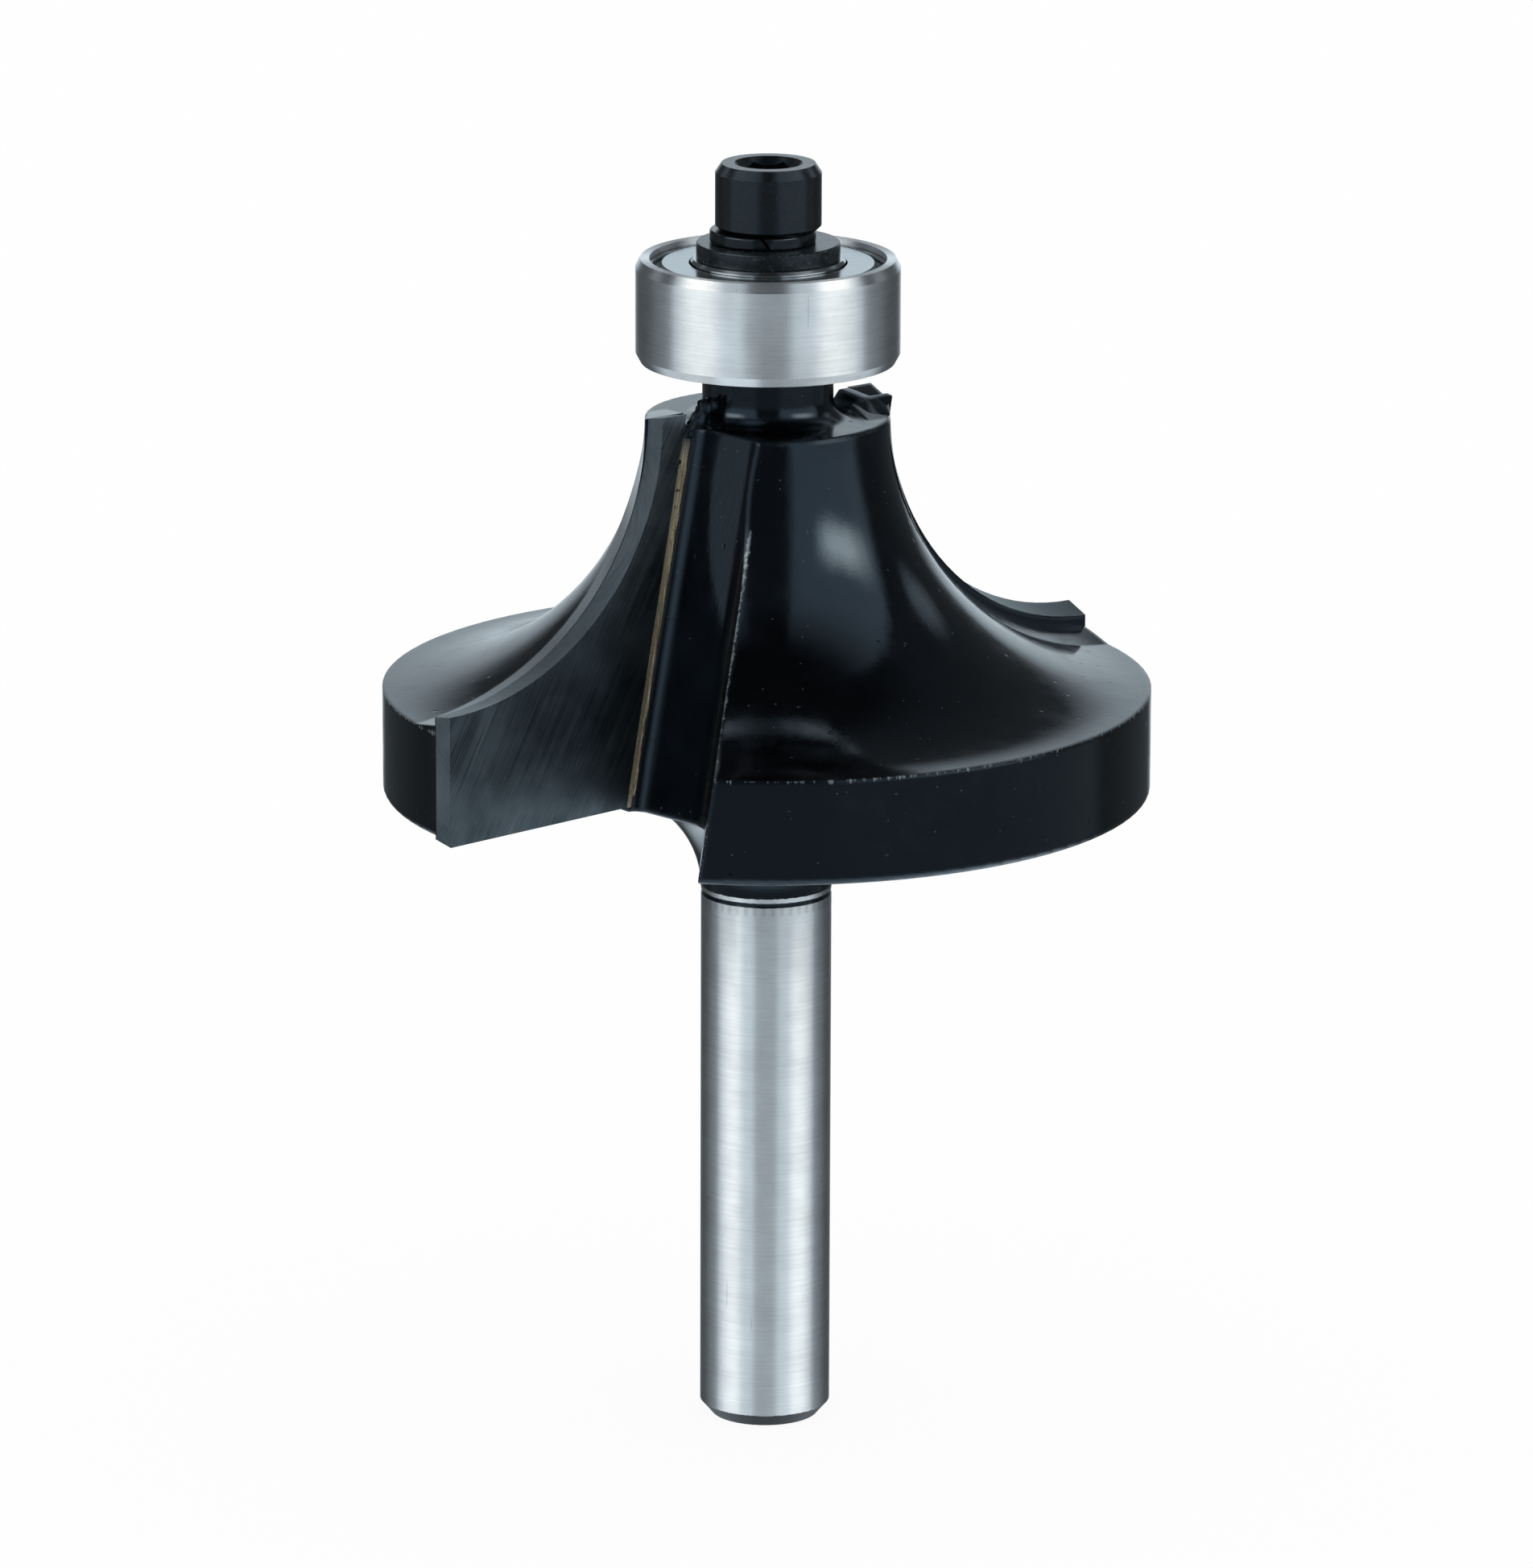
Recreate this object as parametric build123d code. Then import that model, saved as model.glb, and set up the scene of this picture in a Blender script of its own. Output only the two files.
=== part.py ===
from build123d import *
from math import cos, radians, sin, sqrt
import os

# A cove router bit with a guide bearing. Millimetres, +Z up along the axis.
# The origin is the centre of the shank's end face. Seen from the bearing the bit cuts
# anticlockwise, and each tip's rake face looks the way it moves.

# Shank and hub
shank_diameter = 6.35
shank_length = 26.65
shank_chamfer_height = 0.66
shank_chamfer_depth = 0.57
groove_width = 0.24
groove_depth = 0.12
hub_radius = 5.1

# Cutting edge: a quarter round that ends level with the bearing's rim
cove_radius = 12.7
cutting_length = 19.05
relief_slope = 0.22
front_tip_angle = 218.5
tip_count = 2

# Carbide tips and the braze round them
tip_thickness = 1.6
tip_top_width = 1.43
tip_bottom_rise = 0.25
braze_thickness = 0.1
seam_width_low = 0.22
seam_width_high = 0.45
seam_proud = 0.03
seam_top_above_crown = 0.2
pocket_overcut = 0.2
surface_tolerance = 0.001

# Steel head, set back behind the cutting edge
head_setback = 0.5
cove_setback = 0.6
crown_setback = 0.7
crown_inset = 0.45
head_edge_round = 0.25
crown_edge_round = 0.2
wing_edge_round = 0.12

# Steel land behind each tip, sloping down into the head
land_length = 2.7
land_proud = 0.45
land_top_rise = 0.3
land_sink = 0.05
land_front_step = 0.8
land_back_step = 1.7
land_rim_overlap = 0.25

# Gullets, milled along a line that leans in towards the bearing
gullet_lean = 0.193
gullet_corner_inset = 0.7
gullet_floor_width = 4.63
gullet_floor_fall = 0.45
gullet_wall_angle = 50.0
gullet_corner_radius = 0.8
gullet_blend_radius = 2.0
gullet_start_below = 3.0

# Collar, spigot and tapped hole
collar_step = 0.77
collar_height = 2.7
collar_foot_round = 0.9
spigot_fit_gap = 0.01
spigot_setback = 0.15
spigot_chamfer = 0.2
thread_gap = 0.03
tapped_hole_spare_depth = 1.0
drill_point_height = 0.9

# Guide bearing
bearing_diameter = 12.7
bearing_bore = 4.7625
bearing_width = 4.978
bearing_chamfer_depth = 0.23
bearing_chamfer_height = 0.43
outer_ring_thickness = 1.3
inner_ring_thickness = 1.34
ring_small_chamfer = 0.12
ball_diameter = 2.381
ball_count = 7
race_gap = 0.03

# Shields and the wires that hold them
shield_rim_width = 0.66
shield_groove_depth = 0.11
shield_lip_height = 0.28
shield_seat_depth = 0.75
shield_thickness = 0.2
shield_rise = 0.33
shield_flange_width = 0.34
shield_bend_width = 0.2
shield_rim_gap = 0.18
shield_running_gap = 0.08
wire_diameter = 0.24
wire_fit_gap = 0.01
wire_opening_angle = 14.0

# Crown cage
cage_thickness = 0.5
cage_pocket_gap = 0.04
cage_rim_height = 0.4
cage_finger_height = 0.45

# Washers
flat_washer_diameter = 6.9
flat_washer_bore_gap = 0.1
flat_washer_thickness = 0.8
flat_washer_edge_round = 0.08
lock_washer_bore_gap = 0.3
lock_washer_width = 0.75
lock_washer_thickness = 0.62
lock_washer_edge_round = 0.12
lock_washer_shift = 0.26
lock_washer_split = 0.14
lock_washer_split_lean = 35.0
lock_washer_split_angle = 274.0

# Cap screw
screw_diameter = 3.0
screw_length = 8.0
screw_point_chamfer = 0.3
screw_head_diameter = 5.1
screw_head_height = 3.2
screw_crown_depth = 0.3
screw_crown_height = 0.45
screw_foot_chamfer = 0.22
socket_across_flats = 2.5
socket_depth = 1.7
socket_mouth_chamfer = 0.2
socket_point_inset = 0.15
socket_point_height = 0.4

# Radii and heights worked out from the sizes above
shank_radius = shank_diameter / 2
bearing_radius = bearing_diameter / 2
cutting_radius = bearing_radius + cove_radius
underside_z = shank_length + hub_radius
cutting_top_z = underside_z + cutting_length
crown_z = cutting_top_z - crown_setback
crown_radius = bearing_radius - crown_inset
head_radius = cutting_radius - head_setback
head_cove_radius = cove_radius + cove_setback
head_cove_centre = crown_radius + head_cove_radius
pocket_depth = tip_thickness + braze_thickness
collar_radius = bearing_bore / 2 + collar_step
bearing_bottom_z = crown_z + collar_height
bearing_top_z = bearing_bottom_z + bearing_width
half_width = bearing_width / 2
bearing_middle_z = bearing_bottom_z + half_width
spigot_radius = bearing_bore / 2 - spigot_fit_gap
spigot_top_z = bearing_top_z - spigot_setback
pitch_radius = (bearing_radius + bearing_bore / 2) / 2
race_radius = ball_diameter / 2 + race_gap
outer_shoulder_radius = bearing_radius - outer_ring_thickness
inner_shoulder_radius = bearing_bore / 2 + inner_ring_thickness
shield_recess_radius = bearing_radius - shield_rim_width
shield_groove_radius = shield_recess_radius + shield_groove_depth
lock_washer_z = bearing_top_z + flat_washer_thickness
screw_head_z = lock_washer_z + lock_washer_thickness
screw_point_z = screw_head_z - screw_length
tip_angles = [front_tip_angle + i * 360 / tip_count for i in range(tip_count)]


def arc_about(centre, start, end):
    """The shorter arc from start to end round a centre."""
    middle = Vector(*centre)
    half_way = (Vector(*start) + Vector(*end)) / 2 - middle
    radius = (Vector(*start) - middle).length
    return ThreePointArc(start, middle + half_way.normalized() * radius, end)


def turned(profile):
    """A solid turned round Z from a face drawn as radius and height."""
    return revolve(Plane.XZ * profile, Axis.Z)


def ring(inner, outer, bottom, height, edge_round):
    """A flat ring with its outer edges rounded."""
    blank = Pos(0, 0, bottom + height / 2) * Cylinder(outer, height)
    rounded = fillet(blank.edges().filter_by(GeomType.CIRCLE), edge_round)
    return rounded - Pos(0, 0, bottom + height / 2) * Cylinder(inner, 2 * height)


def at_tip(shape, angle):
    """Turn a shape, made for a tip that points along +X, to a tip's place."""
    return Rot(0, 0, angle) * shape


def tip_inner_edge(z):
    """How far from the axis the tip's inner edge is at a height."""
    return bearing_radius - tip_top_width + gullet_lean * (cutting_top_z - z)


def seam_inner_edge(z):
    """How far from the axis the braze seam's inner edge is at a height."""
    share = (z - underside_z) / (crown_z - underside_z)
    return tip_inner_edge(z) - seam_width_low - share * (seam_width_high - seam_width_low)


def shank_and_hub():
    """The outline from the end chamfer to the head's underside, with a V groove."""
    groove_z = shank_length - groove_width
    hub_rim = shank_radius + hub_radius
    shank = Polyline(
        (0, 0),
        (shank_radius - shank_chamfer_depth, 0),
        (shank_radius, shank_chamfer_height),
        (shank_radius, groove_z),
        (shank_radius - groove_depth, groove_z + groove_width / 2),
        (shank_radius, shank_length),
    )
    hub = arc_about((hub_rim, shank_length), (shank_radius, shank_length), (hub_rim, underside_z))
    return shank + hub


def head_outline():
    """The outline of the head, from the underside's inner rim to the collar's foot."""
    edge = head_edge_round
    rim_in = head_radius - edge
    ring_z = crown_z - sqrt(head_cove_radius**2 - (head_cove_centre - head_radius) ** 2)
    foot = collar_radius + collar_foot_round
    underside = Line((shank_radius + hub_radius, underside_z), (rim_in, underside_z))
    rim_centre = (rim_in, underside_z + edge)
    rim_round = arc_about(rim_centre, (rim_in, underside_z), (head_radius, underside_z + edge))
    rim = Line((head_radius, underside_z + edge), (head_radius, ring_z))
    cove = arc_about((head_cove_centre, crown_z), (head_radius, ring_z), (crown_radius, crown_z))
    return underside + rim_round + rim + cove + Line((crown_radius, crown_z), (foot, crown_z))


def collar_and_spigot():
    """The outline from the collar's foot over the spigot and back down the axis."""
    foot = collar_radius + collar_foot_round
    foot_z = crown_z + collar_foot_round
    foot_round = arc_about((foot, foot_z), (foot, crown_z), (collar_radius, foot_z))
    spigot = Polyline(
        (collar_radius, foot_z),
        (collar_radius, bearing_bottom_z),
        (spigot_radius, bearing_bottom_z),
        (spigot_radius, spigot_top_z - spigot_chamfer),
        (spigot_radius - spigot_chamfer, spigot_top_z),
        (0, spigot_top_z),
        (0, 0),
    )
    return foot_round + spigot


def turned_blank():
    """The blank as it leaves the lathe, from the shank's end to the spigot."""
    face = make_face(shank_and_hub() + head_outline() + collar_and_spigot())
    crown_corner = face.vertices().sort_by_distance((crown_radius, crown_z))[0]
    return turned(fillet(crown_corner, crown_edge_round))


def land_section(depth, proud, top_rise, inner):
    """The outline of the land at a depth behind the rake face."""
    reach = head_cove_radius - proud
    rim_drop = sqrt(reach**2 - (head_cove_centre - head_radius - land_rim_overlap) ** 2)
    diagonal = reach * cos(radians(45))
    turned_points = [
        (head_cove_centre - reach, crown_z),
        (head_cove_centre - diagonal, crown_z - diagonal),
        (head_radius + land_rim_overlap, crown_z - rim_drop),
    ]
    crown_end, middle, rim_end = [(sqrt(r**2 - depth**2), z) for r, z in turned_points]
    low_z = underside_z + head_edge_round
    straight = Polyline(
        crown_end,
        (crown_end[0], crown_z + top_rise),
        (inner, crown_z + top_rise),
        (inner, low_z),
        (rim_end[0], low_z),
        rim_end,
    )
    return Plane.XZ.offset(depth) * make_face(straight + ThreePointArc(rim_end, middle, crown_end))


def land():
    """The steel land that stands behind a tip, below its heel."""
    seam_edge = seam_inner_edge(crown_z)
    low_z = underside_z + head_edge_round
    front = land_section(pocket_depth, land_proud, land_top_rise, seam_edge - land_front_step)
    back_depth = pocket_depth + land_length
    back = land_section(back_depth, -land_sink, -land_sink, seam_edge - land_back_step)
    limit = Pos(0, 0, low_z + cutting_length / 2) * Cylinder(head_radius, cutting_length)
    return loft([front, back], ruled=True) & limit


def gullet_cutter():
    """The space milled in front of a tip: rake wall, floor and trailing wall."""
    start_z = underside_z - gullet_start_below
    height = bearing_bottom_z - start_z
    floor = tip_inner_edge(start_z) - gullet_corner_inset
    far = floor + 2 * cutting_radius
    wall_foot = floor - gullet_floor_fall
    wall_end = (
        wall_foot + 2 * cutting_radius * cos(radians(gullet_wall_angle)),
        gullet_floor_width + 2 * cutting_radius * sin(radians(gullet_wall_angle)),
    )
    section = make_face(
        FilletPolyline(
            (far, 0),
            (floor, 0),
            (wall_foot, gullet_floor_width),
            wall_end,
            (far, wall_end[1]),
            radius=[0, gullet_corner_radius, gullet_blend_radius, 0, 0],
            close=True,
        )
    )
    way = Vector(-gullet_lean, 0, 1)
    return extrude(Pos(0, 0, start_z) * section, amount=height * way.length, dir=way)


def pocket_cutter():
    """The pocket that holds a tip and its braze."""
    low_z = underside_z - hub_radius
    face = make_face(
        Polyline(
            (seam_inner_edge(low_z), low_z),
            (2 * cutting_radius, low_z),
            (2 * cutting_radius, bearing_bottom_z),
            (seam_inner_edge(bearing_bottom_z), bearing_bottom_z),
            close=True,
        )
    )
    return Plane.XZ.offset(-pocket_overcut) * extrude(face, pocket_depth + pocket_overcut)


def tapped_hole():
    """The hole for the cap screw, as wide as its thread, with a drill point."""
    radius = screw_diameter / 2 + thread_gap
    floor_z = screw_point_z - tapped_hole_spare_depth
    wall = Pos(0, 0, (floor_z + bearing_top_z) / 2) * Cylinder(radius, bearing_top_z - floor_z)
    point = Pos(0, 0, floor_z - drill_point_height / 2) * Cone(0, radius, drill_point_height)
    return wall + point


def on_trailing_wall(edge, angle):
    """Whether an edge lies in the trailing wall of a tip's gullet."""
    wall = radians(gullet_wall_angle)
    places = [(edge @ share).rotate(Axis.Z, -angle) for share in (0, 0.5, 1)]
    depth = gullet_corner_inset + gullet_floor_fall
    offsets = [
        (place.X - tip_inner_edge(place.Z) + depth) * sin(wall) - (place.Y - gullet_floor_width) * cos(wall)
        for place in places
    ]
    return all(abs(offset) < surface_tolerance for offset in offsets)


def cutter_body():
    """Shank, hub, relieved wings, collar and spigot: one piece of steel."""
    body = turned_blank()
    for angle in tip_angles:
        body += at_tip(land(), angle)
    for angle in tip_angles:
        body -= at_tip(gullet_cutter(), angle)
        body -= at_tip(pocket_cutter(), angle)
    curved = body.edges().filter_by(GeomType.LINE, reverse=True)
    wing_edges = [edge for edge in curved for angle in tip_angles if on_trailing_wall(edge, angle)]
    return fillet(wing_edges, wing_edge_round) - tapped_hole()


def tip_section(depth):
    """The tip's outline at a depth behind its rake face."""
    relief = relief_slope * depth
    drop = sqrt((cove_radius + relief) ** 2 - relief**2)
    low_z = underside_z + tip_bottom_rise
    top_z = cutting_top_z - relief
    outer = cutting_radius - relief
    straight = Polyline(
        (cutting_radius - drop, top_z),
        (tip_inner_edge(top_z), top_z),
        (tip_inner_edge(low_z), low_z),
        (outer, underside_z),
        (outer, cutting_top_z - drop),
    )
    centre = (cutting_radius, cutting_top_z)
    cove = arc_about(centre, (outer, cutting_top_z - drop), (cutting_radius - drop, top_z))
    return Plane.XZ.offset(depth) * make_face(straight + cove)


def carbide_tip():
    """A flat tip whose flanks fall away behind the cutting edge."""
    return loft([tip_section(0), tip_section(tip_thickness)], ruled=True)


def braze_seam():
    """The braze behind a tip and the bead along its inner edge."""
    back = loft([tip_section(tip_thickness), tip_section(pocket_depth)], ruled=True)
    low_z = underside_z + tip_bottom_rise
    high_z = crown_z + seam_top_above_crown
    bead = make_face(
        Polyline(
            (seam_inner_edge(low_z), low_z),
            (tip_inner_edge(low_z), low_z),
            (tip_inner_edge(high_z), high_z),
            (seam_inner_edge(high_z), high_z),
            close=True,
        )
    )
    return back + Plane.XZ.offset(-seam_proud) * extrude(bead, pocket_depth + seam_proud)


def in_bearing(half_face, below=False):
    """Turn a section drawn from the bearing's middle plane; below mirrors it down."""
    face = mirror(half_face, Plane.XZ) if below else half_face
    return Pos(0, 0, bearing_middle_z) * turned(face)


def bearing_ring(wall, shoulder, shoulder_radius, race_bottom):
    """A ring with the same wall, stepped shoulder and ball groove above and below."""
    race_height = sqrt(race_radius**2 - (shoulder_radius - pitch_radius) ** 2)
    race_edge = (shoulder_radius, race_height)
    groove = arc_about((pitch_radius, 0), race_edge, (race_bottom, 0))
    half = make_face(Polyline((race_bottom, 0), *wall, *shoulder, race_edge) + groove)
    return in_bearing(half) + in_bearing(half, below=True)


def outer_ring():
    """The bearing's outer ring with its shield seats."""
    lip_z = half_width - shield_lip_height
    seat_z = half_width - shield_seat_depth
    wall = [(bearing_radius, 0), (bearing_radius, half_width - bearing_chamfer_height)]
    shoulder = [
        (bearing_radius - bearing_chamfer_depth, half_width),
        (shield_recess_radius, half_width),
        (shield_recess_radius, lip_z),
        (shield_groove_radius, lip_z),
        (shield_groove_radius, seat_z),
        (outer_shoulder_radius, seat_z),
    ]
    return bearing_ring(wall, shoulder, outer_shoulder_radius, pitch_radius + race_radius)


def inner_ring():
    """The bearing's inner ring."""
    bore = bearing_bore / 2
    chamfer_z = half_width - ring_small_chamfer
    wall = [(bore, 0), (bore, chamfer_z), (bore + ring_small_chamfer, half_width)]
    shoulder = [
        (inner_shoulder_radius - ring_small_chamfer, half_width),
        (inner_shoulder_radius, chamfer_z),
    ]
    return bearing_ring(wall, shoulder, inner_shoulder_radius, pitch_radius - race_radius)


def ball_place(number):
    """Where a ball sits in the bearing."""
    return Pos(0, 0, bearing_middle_z) * Rot(0, 0, number * 360 / ball_count) * Pos(pitch_radius, 0, 0)


def ball(number):
    """One ball."""
    return ball_place(number) * Sphere(ball_diameter / 2)


def ball_cage():
    """A crown cage, open at the top, that spaces the balls."""
    pocket_radius = ball_diameter / 2 + cage_pocket_gap
    low = -pocket_radius - cage_rim_height
    height = cage_finger_height - low
    middle = Pos(0, 0, bearing_middle_z + low + height / 2)
    crown = middle * Cylinder(pitch_radius + cage_thickness / 2, height)
    crown -= middle * Cylinder(pitch_radius - cage_thickness / 2, height)
    for number in range(ball_count):
        crown -= ball_place(number) * Sphere(pocket_radius)
    return crown


def shield(below=False):
    """A pressed shield with a flange in the outer ring's seat."""
    bore = inner_shoulder_radius + shield_running_gap
    flange_outer = shield_groove_radius - shield_rim_gap
    flange_inner = flange_outer - shield_flange_width
    seat_z = half_width - shield_seat_depth
    face_z = seat_z + shield_rise
    section = Polyline(
        (bore, face_z),
        (flange_inner - shield_bend_width - shield_thickness / 2, face_z),
        (flange_inner - shield_thickness / 2, seat_z),
        (flange_outer, seat_z),
        (flange_outer, seat_z + shield_thickness),
        (flange_inner, seat_z + shield_thickness),
        (flange_inner - shield_bend_width, face_z + shield_thickness),
        (bore, face_z + shield_thickness),
        close=True,
    )
    return in_bearing(make_face(section), below)


def shield_wire(below=False):
    """The split wire that holds a shield in its groove."""
    centre_radius = shield_groove_radius - wire_fit_gap - wire_diameter / 2
    height = half_width - shield_seat_depth + shield_thickness + wire_diameter / 2
    middle_z = bearing_middle_z + (-height if below else height)
    section = Plane.XZ * Pos(centre_radius, 0) * Circle(wire_diameter / 2)
    wire = revolve(section, Axis.Z, 360 - wire_opening_angle)
    return Pos(0, 0, middle_z) * Rot(0, 0, wire_opening_angle / 2) * wire


def flat_washer():
    """The flat washer that keeps the bearing on the spigot."""
    inner = screw_diameter / 2 + flat_washer_bore_gap
    outer = flat_washer_diameter / 2
    return ring(inner, outer, bearing_top_z, flat_washer_thickness, flat_washer_edge_round)


def lock_washer():
    """The split lock washer, a little off centre on the screw."""
    inner = screw_diameter / 2 + lock_washer_bore_gap
    outer = inner + lock_washer_width
    whole = ring(inner, outer, lock_washer_z, lock_washer_thickness, lock_washer_edge_round)
    slot = Box(2 * outer, lock_washer_split, 3 * lock_washer_thickness)
    leaning_slot = Pos(outer, 0, 0) * Rot(lock_washer_split_lean, 0, 0) * slot
    middle_z = lock_washer_z + lock_washer_thickness / 2
    split = Pos(0, 0, middle_z) * Rot(0, 0, lock_washer_split_angle) * leaning_slot
    return Pos(-lock_washer_shift, 0, 0) * (whole - split)


def screw_socket(head_top_z):
    """The hexagonal socket with its mouth chamfer and drill point."""
    floor_z = head_top_z - socket_depth
    inner_radius = socket_across_flats / 2
    mouth = inner_radius / cos(radians(30)) + socket_mouth_chamfer
    hexagon = extrude(Pos(0, 0, floor_z) * RegularPolygon(inner_radius, 6, major_radius=False), socket_depth)
    lead_in = Pos(0, 0, head_top_z - mouth / 2) * Cone(0, mouth, mouth)
    point = Cone(0, inner_radius - socket_point_inset, socket_point_height)
    return hexagon + lead_in + Pos(0, 0, floor_z - socket_point_height / 2) * point


def cap_screw():
    """The socket head screw that holds the washers and the bearing."""
    radius = screw_diameter / 2
    head = screw_head_diameter / 2
    head_top_z = screw_head_z + screw_head_height
    outline = Polyline(
        (0, screw_point_z),
        (radius - screw_point_chamfer, screw_point_z),
        (radius, screw_point_z + screw_point_chamfer),
        (radius, screw_head_z),
        (head - screw_foot_chamfer, screw_head_z),
        (head, screw_head_z + screw_foot_chamfer),
        (head, head_top_z - screw_crown_height),
        (head - screw_crown_depth, head_top_z),
        (0, head_top_z),
        close=True,
    )
    return turned(make_face(outline)) - screw_socket(head_top_z)


def export(node, shape):
    """Write one node's file."""
    export_step(shape, f"parts/{node}.step")


def export_all():
    """Write every node, the repeated ones by number."""
    export("cutter_body", cutter_body())
    for number, angle in enumerate(tip_angles, start=1):
        export(f"carbide_tip_{number}", at_tip(carbide_tip(), angle))
        export(f"braze_seam_{number}", at_tip(braze_seam(), angle))
    export("bearing_outer_ring", outer_ring())
    export("bearing_inner_ring", inner_ring())
    export("ball_cage", ball_cage())
    for number in range(ball_count):
        export(f"bearing_ball_{number + 1}", ball(number))
    export("shield_upper", shield())
    export("shield_lower", shield(below=True))
    export("shield_wire_upper", shield_wire())
    export("shield_wire_lower", shield_wire(below=True))
    export("flat_washer", flat_washer())
    export("lock_washer", lock_washer())
    export("cap_screw", cap_screw())


os.makedirs("parts", exist_ok=True)
export_all()
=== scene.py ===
"""Looks for a cove router bit with a guide bearing: camera, studio, finishes and fine shapes."""

import math
import bmesh
import bpy
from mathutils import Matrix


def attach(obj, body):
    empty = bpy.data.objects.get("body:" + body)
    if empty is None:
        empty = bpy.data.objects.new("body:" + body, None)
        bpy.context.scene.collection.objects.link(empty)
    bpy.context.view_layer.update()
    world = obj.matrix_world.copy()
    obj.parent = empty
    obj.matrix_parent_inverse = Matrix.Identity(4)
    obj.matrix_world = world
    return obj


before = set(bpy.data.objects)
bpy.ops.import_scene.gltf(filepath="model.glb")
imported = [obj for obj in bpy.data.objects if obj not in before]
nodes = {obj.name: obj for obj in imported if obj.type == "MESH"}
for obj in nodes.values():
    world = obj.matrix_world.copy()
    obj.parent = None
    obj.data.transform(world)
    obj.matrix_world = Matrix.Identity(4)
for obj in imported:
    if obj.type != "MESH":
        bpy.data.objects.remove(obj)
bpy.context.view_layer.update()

scene = bpy.context.scene

MM = 0.001

# Camera, fitted to the shank, the bearing and the tips
CAMERA_TILT = 14.861
CAMERA_ROLL = 0.185
CAMERA_DISTANCE = 0.482226
AIM_HEIGHT = 0.031788
LENS = 228.8
SENSOR = 36.0

# Sizes of the bit that the finishes and the small pieces follow, in millimetres
SHANK_RADIUS = 3.175
CHAMFER_TOP = 0.66
COAT_EDGE = 26.86
HEAD_RADIUS = 18.6
RIDGE_HEIGHT = 36.82
COVE_CENTRE = 19.2
COVE_RADIUS = 13.3
CROWN_HEIGHT = 50.1
TIP_TOP = 50.8
TIP_INNER = 4.92
GULLET_LEAN = 0.193
GULLET_FLOOR_WIDTH = 4.63
GULLET_FLOOR_INSET = 1.15
GULLET_WALL_ANGLE = 50.0
TIP_ANGLE = 218.5
BACK_TIP_ANGLE = TIP_ANGLE - 180


def linear(hex_colour):
    """An sRGB hex colour as linear RGBA."""
    parts = [int(hex_colour[i : i + 2], 16) / 255 for i in (1, 3, 5)]
    return [p / 12.92 if p <= 0.04045 else ((p + 0.055) / 1.055) ** 2.4 for p in parts] + [1.0]


def add(tree, kind, inputs=None, **settings):
    """Adds a node, sets it up, and fills its inputs with values, sockets or other nodes."""
    made = tree.nodes.new(kind)
    for name, value in settings.items():
        setattr(made, name, value)
    for key, value in (inputs or {}).items():
        if isinstance(value, bpy.types.Node):
            value = next(socket for socket in value.outputs if socket.enabled)
        if isinstance(value, bpy.types.NodeSocket):
            tree.links.new(value, made.inputs[key])
        else:
            made.inputs[key].default_value = value
    return made


def new_material(name):
    """An empty node material, its tree and the place on the bit in millimetres."""
    material = bpy.data.materials.new(name)
    material.use_nodes = True
    tree = material.node_tree
    tree.nodes.clear()
    place = add(tree, "ShaderNodeTexCoord").outputs["Object"]
    return material, tree, add(tree, "ShaderNodeVectorMath", {0: place, "Scale": 1000.0}, operation="SCALE")


# ---------------------------------------------------------------- camera


def place_camera():
    """The photograph's camera: a long lens a little above the bit."""
    data = bpy.data.cameras.new("camera")
    data.lens = LENS
    data.sensor_width = SENSOR
    data.clip_start = 0.01
    data.clip_end = 20.0
    camera = bpy.data.objects.new("camera", data)
    scene.collection.objects.link(camera)
    tilt = math.radians(CAMERA_TILT)
    camera.location = (
        0,
        -CAMERA_DISTANCE * math.cos(tilt),
        AIM_HEIGHT + CAMERA_DISTANCE * math.sin(tilt),
    )
    camera.rotation_mode = "ZYX"
    camera.rotation_euler = (math.pi / 2 - tilt, 0, math.radians(CAMERA_ROLL))
    scene.camera = camera


# ---------------------------------------------------------------- studio


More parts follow.
